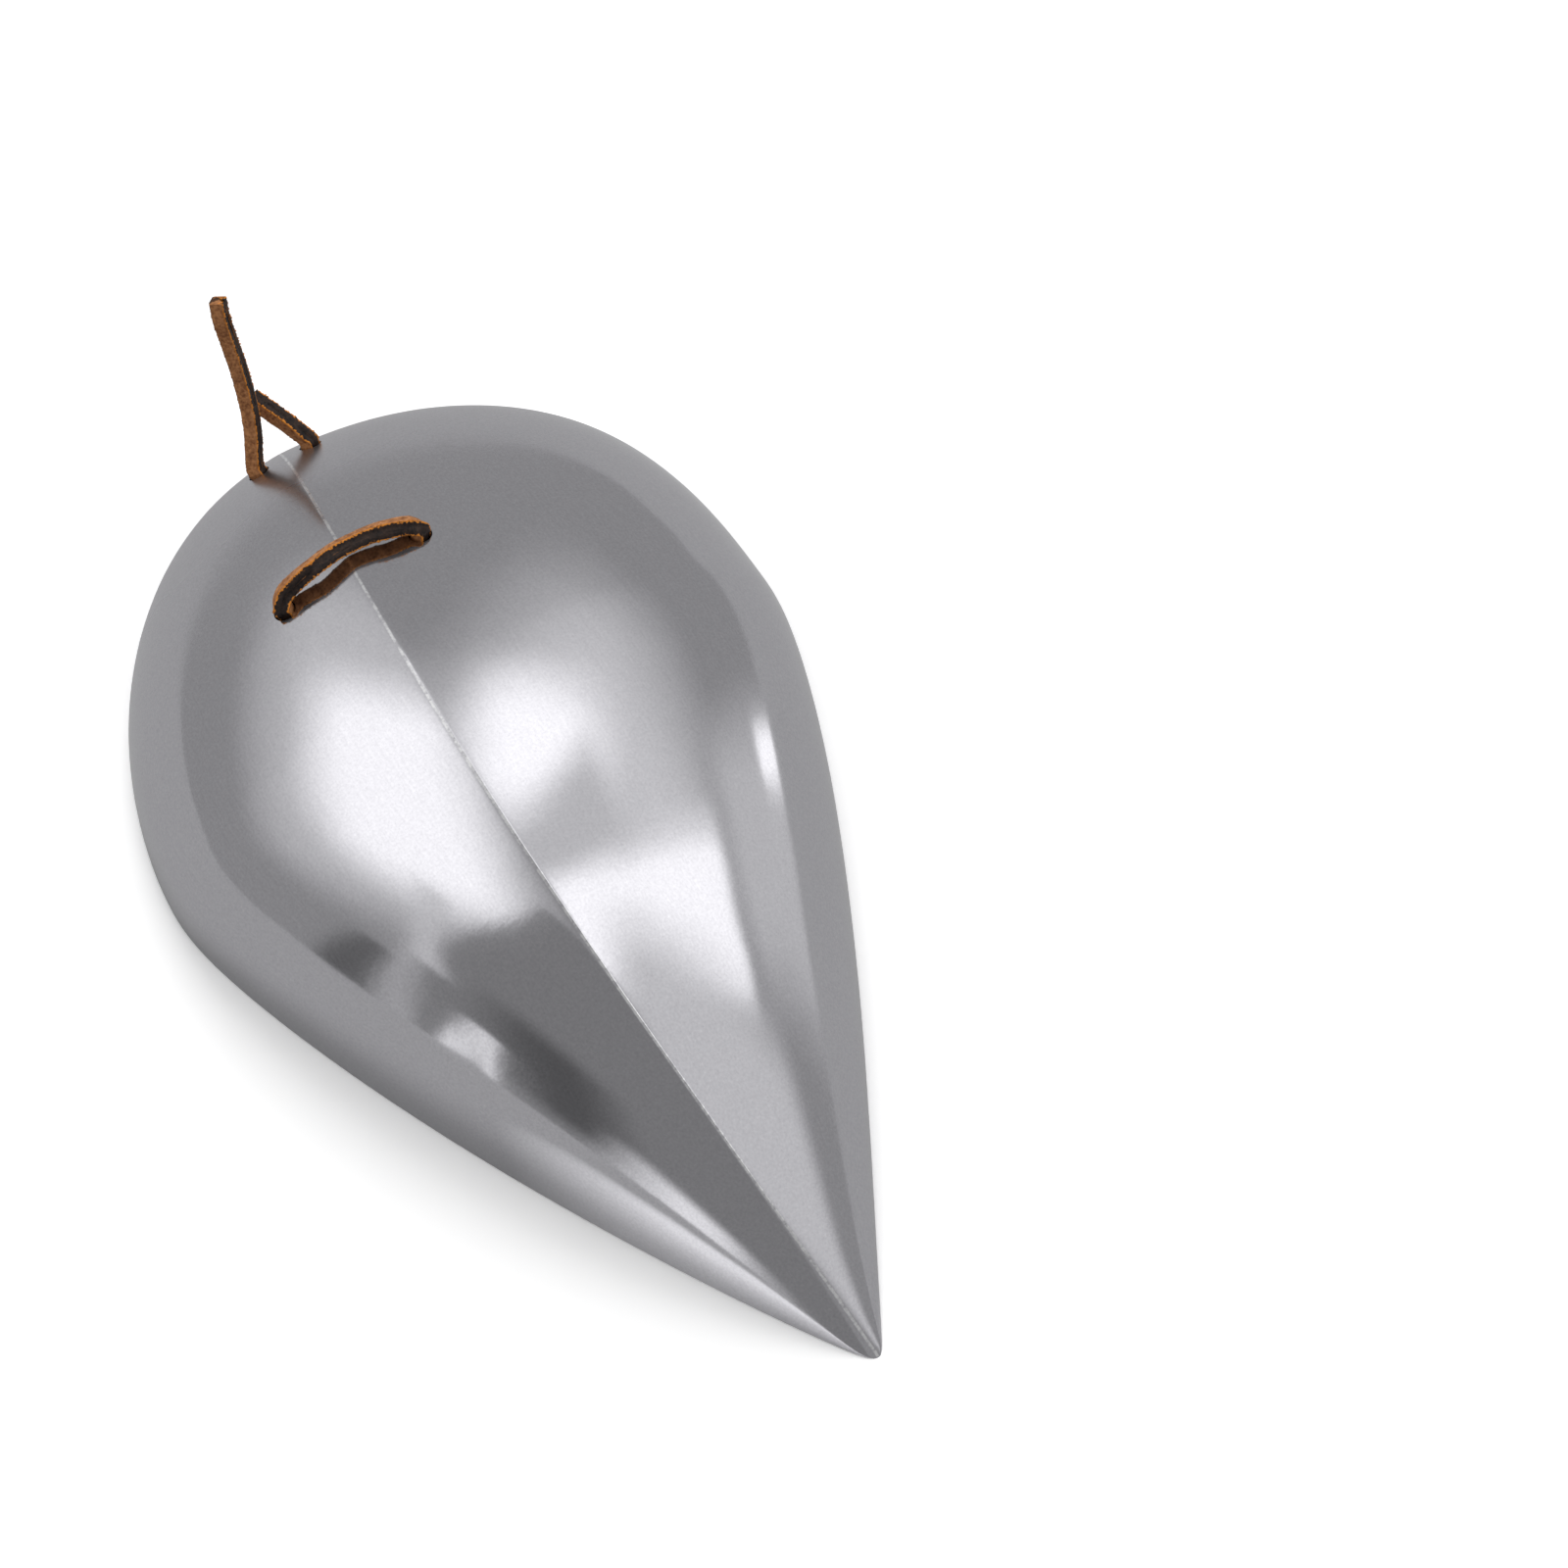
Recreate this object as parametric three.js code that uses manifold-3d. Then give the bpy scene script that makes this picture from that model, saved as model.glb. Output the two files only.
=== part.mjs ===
// A single hammered-steel pauldron lying on its rim: a teardrop dome with one keel-like ridge,
// and a leather lace threaded through four holes at its round end.
// Millimetres, +Z up. The ridge runs along Y with the point at -Y; the outer half is at -X.

import * as THREE from 'three';
import { mergeVertices } from 'three/addons/utils/BufferGeometryUtils.js';
import Module from 'manifold-3d';

const wasm = await Module();
wasm.setup();

// Driving dimensions of the shell
const shellLength = 290;        // round end to point, on the rim
const domeHeight = 60;          // highest point of the ridge above the rim
const plateThickness = 1.2;     // 18 gauge steel
const tipRadius = 3;            // the point is rounded off in plan
const ridgeBow = 13.2;          // how far the ridge bows towards the outer half
const outerHalfWidth = 85.7;    // rim to the straight line from end to point, -X side
const innerHalfWidth = 89.6;    // the same on the +X side

// Driving dimensions of the lace and its holes
const laceWidth = 4.0;          // across the grain face
const laceThickness = 3.2;
const laceClearance = 0.45;     // all round the lace in a hole, and under the plate
const loopHoleSpacing = 38.8;   // between the two holes that the loop bridges
const loopHoleSetback = 63.5;   // from the round end, in plan
const rearHoleSpacing = 15.2;
const rearHoleSetback = 11.5;
const upperEndLength = 50;      // free end of the lace that stands up
const lowerEndLength = 20;      // free end that leans out behind it
const laceBendRadius = 3.4;     // where the lace turns out of a hole under the plate

const laceDiagonal = Math.hypot(laceWidth, laceThickness);
const holeDiameter = laceDiagonal + 2 * laceClearance;

// Outline of each half, as shares of the shell's length and as exponents: it swells from the
// round end to its widest station, then tapers to the point
const widestAt = 0.348;
const outerHalf = { side: -1, halfWidth: outerHalfWidth, swell: 1.78, bend: 1.36, close: 0.97 };
const innerHalf = { side: 1, halfWidth: innerHalfWidth, swell: 2.74, bend: 1.40, close: 1.09 };

// Side view of the ridge, and how keel-like it is: 0 is a smooth dome, 1 a straight-sided tent
const ridgeProfile = { highestAt: 0.414, rise: 1.9, fall: 2.0 };
const keel = { roundEnd: 0.15, point: 0.35 };

// Mesh fineness
const outlineStations = 24;     // along each half of the rim
const ringCount = 14;           // from the top of the dome to the rim
const holeSides = 20;
const laceStep = 2.2;           // between sections of the lace
const rimCrowding = 1.6;        // above 1, the rings lie closer together near the rim
const underPlateSteps = 7;      // of the lace's route, between two holes

const pastPoint = 1.1 * tipRadius;   // the sides would meet this far beyond the rounded point

function risingArc(share, power) {
  return Math.sqrt(Math.max(0, 1 - Math.pow(Math.abs(1 - share), power)));
}

// Half-width of the rim at a distance from the round end
function halfWidthAt(along, half) {
  const widest = widestAt * shellLength;
  if (along < widest) return half.halfWidth * risingArc(along / widest, half.swell);
  const taper = (along - widest) / (shellLength + pastPoint - widest);
  const side = half.halfWidth * Math.pow(Math.max(0, 1 - Math.pow(taper, half.bend)), half.close);
  const fromTipCentre = along - (shellLength - tipRadius);
  if (fromTipCentre <= 0) return side;
  return Math.min(side, Math.sqrt(Math.max(0, tipRadius ** 2 - fromTipCentre ** 2)));
}

function ridgeX(along) {
  return -ridgeBow * Math.sin(Math.PI * along / shellLength);
}

function ridgeHeight(along) {
  const highest = ridgeProfile.highestAt * shellLength;
  if (along < highest) return domeHeight * risingArc(along / highest, ridgeProfile.rise);
  const down = (along - highest) / (shellLength - highest);
  return domeHeight * Math.max(0, 1 - Math.pow(down, ridgeProfile.fall));
}

// Share of the ridge's height that is left at a share of the way from the ridge to the rim
function sectionHeight(along, across) {
  const widest = widestAt * shellLength;
  const towardsPoint = THREE.MathUtils.clamp((along - widest) / (shellLength - widest), 0, 1);
  const sharpness = THREE.MathUtils.lerp(keel.roundEnd, keel.point, towardsPoint);
  const reach = sharpness + (1 - sharpness) * across;
  return Math.sqrt(Math.max(0, 1 - reach ** 2) / (1 - sharpness ** 2));
}

// A point of the outer face from its distance along and its share of the way out to the rim
function shellPoint(along, across, half) {
  const rim = half.side * halfWidthAt(along, half);
  const x = THREE.MathUtils.lerp(ridgeX(along), rim, across);
  return new THREE.Vector3(x, -along, ridgeHeight(along) * sectionHeight(along, across));
}

function heightAt(x, along) {
  const offset = x - ridgeX(along);
  const half = offset < 0 ? outerHalf : innerHalf;
  const reach = half.side * halfWidthAt(along, half) - ridgeX(along);
  return ridgeHeight(along) * sectionHeight(along, Math.min(1, offset / reach));
}

// Place and outward direction on the outer face, at a distance beside the ridge (+ is inner)
function shellFrame(along, beside) {
  const probe = 0.5;
  const x = ridgeX(along) + beside;
  const slopeX = (heightAt(x + probe, along) - heightAt(x - probe, along)) / (2 * probe);
  const slopeY = (heightAt(x, along - probe) - heightAt(x, along + probe)) / (2 * probe);
  return {
    place: new THREE.Vector3(x, -along, heightAt(x, along)),
    outward: new THREE.Vector3(-slopeX, -slopeY, 1).normalize(),
  };
}

function offShell(along, beside, lift) {
  const { place, outward } = shellFrame(along, beside);
  return place.addScaledVector(outward, lift);
}

// Outer face as spokes of rings from the top of the ridge out to the rim. The spokes go round
// from the point along the inner half to the round end and back along the outer half.
function outerFace() {
  const top = ridgeProfile.highestAt * shellLength;
  const spokes = [];
  const addSpoke = (rimAlong, rimShare, half) => {
    const spoke = [];
    for (let ring = 1; ring <= ringCount; ring++) {
      const out = 1 - Math.pow(1 - ring / ringCount, rimCrowding);
      const along = THREE.MathUtils.lerp(top, rimAlong, out);
      const width = halfWidthAt(along, half);
      const across = ring === ringCount ? rimShare
        : Math.min(1, rimShare * out * halfWidthAt(rimAlong, half) / Math.max(width, 1e-6));
      const point = shellPoint(along, across, half);
      if (ring === ringCount) point.z = 0;
      spoke.push(point);
    }
    spokes.push(spoke);
  };
  const station = (step) => shellLength * (1 - Math.cos(Math.PI * step / outlineStations)) / 2;
  addSpoke(shellLength, 0, innerHalf);
  for (let step = outlineStations - 1; step > 0; step--) addSpoke(station(step), 1, innerHalf);
  addSpoke(0, 0, innerHalf);
  for (let step = 1; step < outlineStations; step++) addSpoke(station(step), 1, outerHalf);
  return { top: shellPoint(top, 0, innerHalf), spokes };
}

function faceTriangles(spokeCount) {
  const triangles = [];
  const index = (spoke, ring) => 1 + (spoke % spokeCount) * ringCount + ring;
  for (let spoke = 0; spoke < spokeCount; spoke++) {
    triangles.push([0, index(spoke, 0), index(spoke + 1, 0)]);
    for (let ring = 0; ring < ringCount - 1; ring++) {
      triangles.push([index(spoke, ring), index(spoke, ring + 1), index(spoke + 1, ring + 1)]);
      triangles.push([index(spoke, ring), index(spoke + 1, ring + 1), index(spoke + 1, ring)]);
    }
  }
  return triangles;
}

function vertexNormals(points, triangles) {
  const normals = points.map(() => new THREE.Vector3());
  for (const [a, b, c] of triangles) {
    const ab = points[b].clone().sub(points[a]);
    const ac = points[c].clone().sub(points[a]);
    const face = ab.cross(ac);
    for (const corner of [a, b, c]) normals[corner].add(face);
  }
  return normals.map((normal) => normal.normalize());
}

function meshGeometry(points, triangles) {
  const corners = triangles.flat().map((corner) => points[corner]);
  const geometry = new THREE.BufferGeometry().setFromPoints(corners);
  return mergeVertices(geometry, 1e-4);
}

// The bent plate: outer face, the same face a plate thickness further in, and the flat rim
function plateGeometry() {
  const { top, spokes } = outerFace();
  const outer = [top, ...spokes.flat()];
  const triangles = faceTriangles(spokes.length);
  const normals = vertexNormals(outer, triangles);
  const rimOf = (spoke) => 1 + (spoke % spokes.length) * ringCount + ringCount - 1;
  spokes.forEach((spoke, number) => normals[rimOf(number)].setZ(0).normalize());
  const inner = outer.map((point, number) => {
    const moved = point.clone().addScaledVector(normals[number], -plateThickness);
    moved.z = Math.max(0, moved.z);
    return moved;
  });
  const shift = outer.length;
  const all = [...triangles];
  for (const [a, b, c] of triangles) all.push([a + shift, c + shift, b + shift]);
  for (let spoke = 0; spoke < spokes.length; spoke++) {
    const [here, next] = [rimOf(spoke), rimOf(spoke + 1)];
    all.push([here, here + shift, next + shift]);
    all.push([here, next + shift, next]);
  }
  return meshGeometry([...outer, ...inner], all);
}

function toSolid(geometry) {
  const bare = new THREE.BufferGeometry();
  bare.setAttribute('position', geometry.getAttribute('position').clone());
  if (geometry.index) bare.setIndex(geometry.index.clone());
  const merged = mergeVertices(bare, 1e-4);
  return new wasm.Manifold(new wasm.Mesh({
    numProp: 3,
    vertProperties: new Float32Array(merged.getAttribute('position').array),
    triVerts: new Uint32Array(merged.index.array),
  }));
}

function toGeometry(solid) {
  const mesh = solid.getMesh();
  const geometry = new THREE.BufferGeometry();
  geometry.setAttribute('position', new THREE.BufferAttribute(mesh.vertProperties, 3));
  geometry.setIndex(new THREE.BufferAttribute(mesh.triVerts, 1));
  return geometry;
}

function holeDrill(along, beside) {
  const { place, outward } = shellFrame(along, beside);
  const reach = 6 * plateThickness;
  const drill = new THREE.CylinderGeometry(holeDiameter / 2, holeDiameter / 2, reach, holeSides);
  drill.deleteAttribute('normal');
  drill.deleteAttribute('uv');
  const turn = new THREE.Quaternion().setFromUnitVectors(new THREE.Vector3(0, 1, 0), outward);
  drill.applyQuaternion(turn);
  drill.translate(place.x, place.y, place.z);
  return drill;
}

function shellGeometry() {
  let plate = toSolid(plateGeometry());
  for (const side of [-1, 1]) {
    plate = plate.subtract(toSolid(holeDrill(loopHoleSetback, side * loopHoleSpacing / 2)));
    plate = plate.subtract(toSolid(holeDrill(rearHoleSetback, side * rearHoleSpacing / 2)));
  }
  return toGeometry(plate);
}

// Route of the lace. Each row is a point of its middle line and the way its grain side faces.
// Free ends: across, back and up from the mouth of the rear hole, as shares of the end's length.
const upperEnd = [
  { across: 0.168, back: 0.530, up: 0.804 },
  { across: 0.150, back: 0.480, up: 0.708 },
  { across: 0.140, back: 0.408, up: 0.586 },
  { across: 0.128, back: 0.328, up: 0.456 },
  { across: 0.106, back: 0.240, up: 0.322 },
  { across: 0.072, back: 0.150, up: 0.196 },
];
const upperEndFaces = [0.82, -0.48, 0.2];
const lowerEnd = [
  { across: -0.37, back: 0.80, up: 0.42 },
  { across: -0.26, back: 0.58, up: 0.33 },
  { across: -0.15, back: 0.36, up: 0.24 },
];
const lowerEndFaces = [0.6, 0.1, 0.8];

// The loop over the ridge: beside as a share of the half spacing, back and lift in lace widths
const loopArch = [
  { beside: -0.90, back: 0.35, lift: 0.75, faces: [-0.8, -0.5, 0.4] },
  { beside: -0.68, back: 0.55, lift: 0.93, faces: [-0.5, -0.7, 0.5] },
  { beside: -0.42, back: 0.62, lift: 1.08, faces: [-0.3, -0.78, 0.56] },
  { beside: -0.14, back: 0.85, lift: 0.98, faces: [-0.1, -0.8, 0.6] },
  { beside: 0.12, back: 0.97, lift: 0.85, faces: [0.1, -0.8, 0.6] },
  { beside: 0.37, back: 0.85, lift: 0.92, faces: [0.3, -0.78, 0.56] },
  { beside: 0.60, back: 0.60, lift: 0.95, faces: [0.5, -0.7, 0.5] },
  { beside: 0.89, back: 0.32, lift: 0.72, faces: [0.8, -0.5, 0.4] },
];

// Through a hole along its own axis, from outside to inside
function throughHole(along, beside, faces) {
  const lifts = [0.4 * laceWidth, 0, -plateThickness, -plateThickness - 0.3 * laceBendRadius];
  return lifts.map((lift) => ({ place: offShell(along, beside, lift), faces }));
}

// Under the plate from the rear hole to the loop hole on one side
function underPlate(side, facesFrom, facesVia, facesTo) {
  const touching = plateThickness + laceClearance + laceDiagonal / 2;
  const slack = plateThickness + laceBendRadius + 0.3 * laceWidth;
  const rows = [];
  const start = rearHoleSetback + laceBendRadius;
  const end = loopHoleSetback - laceBendRadius;
  for (let step = 0; step <= underPlateSteps; step++) {
    const share = step / underPlateSteps;
    const along = THREE.MathUtils.lerp(start, end, share);
    const beside = side * THREE.MathUtils.lerp(rearHoleSpacing, loopHoleSpacing, share) / 2;
    const nearHole = Math.pow(Math.abs(2 * share - 1), 4);
    const lift = -THREE.MathUtils.lerp(touching, slack, nearHole);
    const [from, to] = share < 0.5 ? [facesFrom, facesVia] : [facesVia, facesTo];
    const turn = share < 0.5 ? 2 * share : 2 * share - 1;
    const faces = from.map((value, axis) => THREE.MathUtils.lerp(value, to[axis], turn));
    rows.push({ place: offShell(along, beside, lift), faces });
  }
  return rows;
}

function freeEnd(rows, side, length, faces) {
  const mouth = offShell(rearHoleSetback, side * rearHoleSpacing / 2, 0);
  return rows.map(({ across, back, up }) => {
    const step = new THREE.Vector3(across, back, up).multiplyScalar(length);
    return { place: mouth.clone().add(step), faces };
  });
}

function laceRoute() {
  const [rear, loop] = [rearHoleSpacing / 2, loopHoleSpacing / 2];
  const outerSide = [-1, -0.2, 0];
  const innerSide = [1, -0.2, 0];
  const downwards = [0, 0, -1];
  return [
    ...freeEnd(upperEnd, -1, upperEndLength, upperEndFaces),
    ...throughHole(rearHoleSetback, -rear, upperEndFaces),
    ...underPlate(-1, upperEndFaces, downwards, outerSide),
    ...throughHole(loopHoleSetback, -loop, outerSide).reverse(),
    ...loopArch.map(({ beside, back, lift, faces }) => ({
      place: offShell(loopHoleSetback - back * laceWidth, beside * loop, lift * laceWidth), faces,
    })),
    ...throughHole(loopHoleSetback, loop, innerSide),
    ...underPlate(1, innerSide, innerSide, innerSide).reverse(),
    ...throughHole(rearHoleSetback, rear, innerSide).reverse(),
    ...freeEnd(lowerEnd, 1, lowerEndLength, lowerEndFaces).reverse(),
  ];
}

// A rectangular strip swept along the route, its grain side turned to where the route says
function laceGeometry() {
  const route = laceRoute();
  const curve = new THREE.CatmullRomCurve3(route.map((row) => row.place), false, 'centripetal');
  curve.arcLengthDivisions = 1200;
  const sections = Math.ceil(curve.getLength() / laceStep);
  const points = [];
  for (let section = 0; section <= sections; section++) {
    const at = curve.getUtoTmapping(section / sections) * (route.length - 1);
    const before = Math.min(route.length - 2, Math.floor(at));
    const faces = new THREE.Vector3(...route[before].faces)
      .lerp(new THREE.Vector3(...route[before + 1].faces), at - before);
    const forward = curve.getTangentAt(section / sections);
    const grain = faces.addScaledVector(forward, -faces.dot(forward)).normalize();
    const edge = grain.clone().cross(forward);
    const middle = curve.getPointAt(section / sections);
    for (const [across, up] of [[-1, -1], [1, -1], [1, 1], [-1, 1]]) {
      points.push(middle.clone()
        .addScaledVector(edge, across * laceWidth / 2)
        .addScaledVector(grain, up * laceThickness / 2));
    }
  }
  const triangles = [];
  for (let section = 0; section < sections; section++) {
    for (let corner = 0; corner < 4; corner++) {
      const [a, b] = [4 * section + corner, 4 * section + (corner + 1) % 4];
      triangles.push([a, b, b + 4], [a, b + 4, a + 4]);
    }
  }
  const last = 4 * sections;
  triangles.push([0, 2, 1], [0, 3, 2], [last, last + 1, last + 2], [last, last + 2, last + 3]);
  return meshGeometry(points, triangles);
}

function namedMesh(name, geometry, material) {
  const mesh = new THREE.Mesh(geometry, material);
  mesh.name = name;
  return mesh;
}

const brushedSteel = new THREE.MeshStandardMaterial({ color: 0x9c9ca0, roughness: 0.32, metalness: 1 });
const laceLeather = new THREE.MeshStandardMaterial({ color: 0x4a342a, roughness: 0.75, metalness: 0 });

const pauldron = new THREE.Group();
pauldron.add(namedMesh('pauldron_shell', shellGeometry(), brushedSteel));
pauldron.add(namedMesh('leather_lace', laceGeometry(), laceLeather));

// The origin is the middle of the footprint, on the surface that the rim rests on
const bounds = new THREE.Box3().setFromObject(pauldron);
const middle = bounds.getCenter(new THREE.Vector3());
for (const mesh of pauldron.children) mesh.position.set(-middle.x, -middle.y, -bounds.min.z);

export default pauldron;
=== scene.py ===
# One steel pauldron with its leather lace, lying on a pale studio floor.
# Metres, +Z up. The ridge runs along Y with the point at -Y, and the outer half is at -X.
import math

import bmesh
import bpy
from mathutils import Matrix, Vector, noise


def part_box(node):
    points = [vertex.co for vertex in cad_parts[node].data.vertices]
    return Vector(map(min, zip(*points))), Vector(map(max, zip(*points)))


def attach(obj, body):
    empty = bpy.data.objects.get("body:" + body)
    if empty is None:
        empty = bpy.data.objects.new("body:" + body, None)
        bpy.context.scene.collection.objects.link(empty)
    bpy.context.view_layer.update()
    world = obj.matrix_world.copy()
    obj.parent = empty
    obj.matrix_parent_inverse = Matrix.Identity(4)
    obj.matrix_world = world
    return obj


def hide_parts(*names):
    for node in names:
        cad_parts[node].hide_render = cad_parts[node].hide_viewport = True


mm = 0.001
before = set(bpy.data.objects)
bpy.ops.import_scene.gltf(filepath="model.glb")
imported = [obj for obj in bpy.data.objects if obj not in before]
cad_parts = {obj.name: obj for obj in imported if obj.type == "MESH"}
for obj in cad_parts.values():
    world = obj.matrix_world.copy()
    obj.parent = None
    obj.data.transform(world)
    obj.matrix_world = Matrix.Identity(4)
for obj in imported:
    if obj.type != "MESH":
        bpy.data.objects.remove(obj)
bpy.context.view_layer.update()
shellLow, shellHigh = [Vector(corner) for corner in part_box("pauldron_shell")]

# What a user would change on the shell; shares are of its length
shell = {
    "length": shellHigh.y - shellLow.y,
    "height": shellHigh.z - shellLow.z,
    "roundEndY": shellHigh.y,
    "lineX": -2.31 * mm,          # the straight line from end to end lies here
    "plate": 1.2 * mm,
    "tipRadius": 3 * mm,
    "ridgeBow": 13.2 * mm,
    "widestAt": 0.348,
    "widestEase": 0.10,
    "highestAt": 0.414,
    "rise": 1.9,
    "fall": 2.0,
    "keelRoundEnd": 0.15,
    "keelPoint": 0.35,
    "ridgeSoftRoundEnd": 0.9 * mm,  # the crease is rounded over this half-width
    "ridgeSoftPoint": 0.25 * mm,
    "stepsAlong": 230,
    "stepsAcross": 80,            # on each half
    "crowdRidge": 1.5,            # above 1, the rows lie closer together near the ridge
    "plateAtPoint": 2.1 * mm,     # measured along the floor, because the plate slopes there
    "rimRound": 0.35 * mm,
    "rimSteps": 3,
}
outerHalf = {"side": -1, "halfWidth": 85.7 * mm, "swell": 1.78, "bend": 1.36, "close": 0.97}
innerHalf = {"side": 1, "halfWidth": 89.6 * mm, "swell": 2.74, "bend": 1.40, "close": 1.09}

# Hammering that the planishing left behind: height and spacing of the waves
hammering = {
    "broadHeight": 0.10 * mm,
    "broadSpacing": 34 * mm,
    "fineHeight": 0.028 * mm,
    "fineSpacing": 12 * mm,
    "fadesBelow": 4 * mm,         # the rim itself stays flat on the floor
    "dents": [
        # distance from the round end, distance beside the ridge, radius, depth
        (183 * mm, -37 * mm, 9 * mm, 0.16 * mm),
    ],
}

# What a user would change on the lace and its holes
lace = {
    "width": 4.0 * mm,
    "thickness": 3.2 * mm,
    "clearance": 0.45 * mm,
    "loopHoleSpacing": 38.8 * mm,
    "loopHoleSetback": 63.5 * mm,
    "rearHoleSpacing": 15.2 * mm,
    "rearHoleSetback": 11.5 * mm,
    "upperEndLength": 50 * mm,
    "lowerEndLength": 20 * mm,
    "bendRadius": 3.4 * mm,
    "underPlateSteps": 7,
    "bodyWidth": 4.2 * mm,        # swollen and frayed a little past the width it was cut to
    "bodyThickness": 3.8 * mm,
    "cornerPower": 6,             # 2 is an oval section, more is squarer
    "sectionStep": 0.26 * mm,
    "sectionPoints": 48,
    "frayHeight": 0.34 * mm,
    "fibreSpacing": 0.42 * mm,
    "clumpSpacing": 2.6 * mm,
    "waviness": 0.10 * mm,
    "waveSpacing": 6 * mm,
    "holeSides": 48,
}


def lerp(start, end, share):
    return start + (end - start) * share


def clamp01(value):
    return max(0.0, min(1.0, value))


# Shape of the shell, as the solid has it, but with no corner in its outline

def risingArc(share, power):
    return math.sqrt(max(0.0, 1 - abs(1 - share) ** power))


def halfWidthAt(along, half):
    widest = shell["widestAt"] * shell["length"]
    if along < widest:
        return half["halfWidth"] * risingArc(along / widest, half["swell"])
    pastPoint = 1.1 * shell["tipRadius"]  # the sides aim beyond the point, and its corner is rounded
    taper = (along - widest) / (shell["length"] + pastPoint - widest)
    eased = taper ** 2 / (taper ** 2 + shell["widestEase"] ** 2)  # no corner at the widest place
    narrowing = taper ** half["bend"] * eased ** (1 - half["bend"] / 2)
    side = half["halfWidth"] * max(0.0, 1 - narrowing) ** half["close"]
    corner = pastPoint / (shell["length"] - along + pastPoint)
    return side * math.sqrt(max(0.0, 1 - corner ** 2))


def ridgeX(along):
    return -shell["ridgeBow"] * math.sin(math.pi * along / shell["length"])


def ridgeHeight(along):
    highest = shell["highestAt"] * shell["length"]
    if along < highest:
        return shell["height"] * risingArc(along / highest, shell["rise"])
    down = (along - highest) / (shell["length"] - highest)
    return shell["height"] * max(0.0, 1 - down ** shell["fall"])


def sharpnessAt(along):
    widest = shell["widestAt"] * shell["length"]
    towardsPoint = clamp01((along - widest) / (shell["length"] - widest))
    return lerp(shell["keelRoundEnd"], shell["keelPoint"], towardsPoint)


def sectionHeight(along, across):
    sharpness = sharpnessAt(along)
    reach = min(1.0, sharpness + (1 - sharpness) * across)
    return math.sqrt(max(0.0, 1 - reach ** 2) / (1 - sharpness ** 2))


def reachAt(along, half):
    return abs(half["side"] * halfWidthAt(along, half) - ridgeX(along))


def heightAt(x, along):
    offset = x - ridgeX(along)
    half = outerHalf if offset < 0 else innerHalf
    return ridgeHeight(along) * sectionHeight(along, min(1.0, abs(offset) / reachAt(along, half)))


# Place and outward direction on the outer face, at a distance beside the ridge (+ is inner)
def shellFrame(along, beside):
    probe = 0.5 * mm
    x = ridgeX(along) + beside
    slopeX = (heightAt(x + probe, along) - heightAt(x - probe, along)) / (2 * probe)
    slopeY = (heightAt(x, along - probe) - heightAt(x, along + probe)) / (2 * probe)
    place = Vector((x + shell["lineX"], shell["roundEndY"] - along, heightAt(x, along)))
    return place, Vector((-slopeX, -slopeY, 1)).normalized()


def offShell(along, beside, lift):
    place, outward = shellFrame(along, beside)
    return place + outward * lift


def holePlaces():
    places = []
    for side in (-1, 1):
        places.append((lace["loopHoleSetback"], side * lace["loopHoleSpacing"] / 2))
        places.append((lace["rearHoleSetback"], side * lace["rearHoleSpacing"] / 2))
    return places


# Finished pieces ride on the one body, and the imported part they stand for is hidden

def finishPiece(bm, name, material, node):
    mesh = bpy.data.meshes.new(name)
    bm.to_mesh(mesh)
    bm.free()
    piece = bpy.data.objects.new(name, mesh)
    bpy.context.scene.collection.objects.link(piece)
    mesh.materials.append(material)
    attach(piece, "root")
    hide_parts(node)
    return piece


# A place on the outer wall: x from the line, distance from the round end, height. A share of 0
# is on the ridge and 1 is on the rim.
def outerWallPlace(along, half, share):
    sharpness = sharpnessAt(along)
    angle = lerp(math.asin(sharpness), math.pi / 2, share ** shell["crowdRidge"])
    across = clamp01((math.sin(angle) - sharpness) / (1 - sharpness))
    reach = reachAt(along, half)
    toPoint = along / shell["length"]
    soft = lerp(shell["ridgeSoftRoundEnd"], shell["ridgeSoftPoint"], toPoint)
    soft = min(soft, 0.2 * reach)
    rounded = 1.0
    if reach > 0:
        rounded = min(1.0, math.hypot(across * reach, soft * (1 - across)) / reach)
    x = lerp(ridgeX(along), half["side"] * halfWidthAt(along, half), across)
    return Vector((x, along, ridgeHeight(along) * sectionHeight(along, rounded)))


# The inner wall is the same dome, smaller by the plate
def toInnerWall(place, half):
    plate = shell["plate"]
    smaller = (
        1 - plate / half["halfWidth"],
        1 - (plate + shell["plateAtPoint"]) / shell["length"],
        1 - plate / shell["height"],
    )
    return place * Vector(smaller) + Vector((0, plate, 0))


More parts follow.
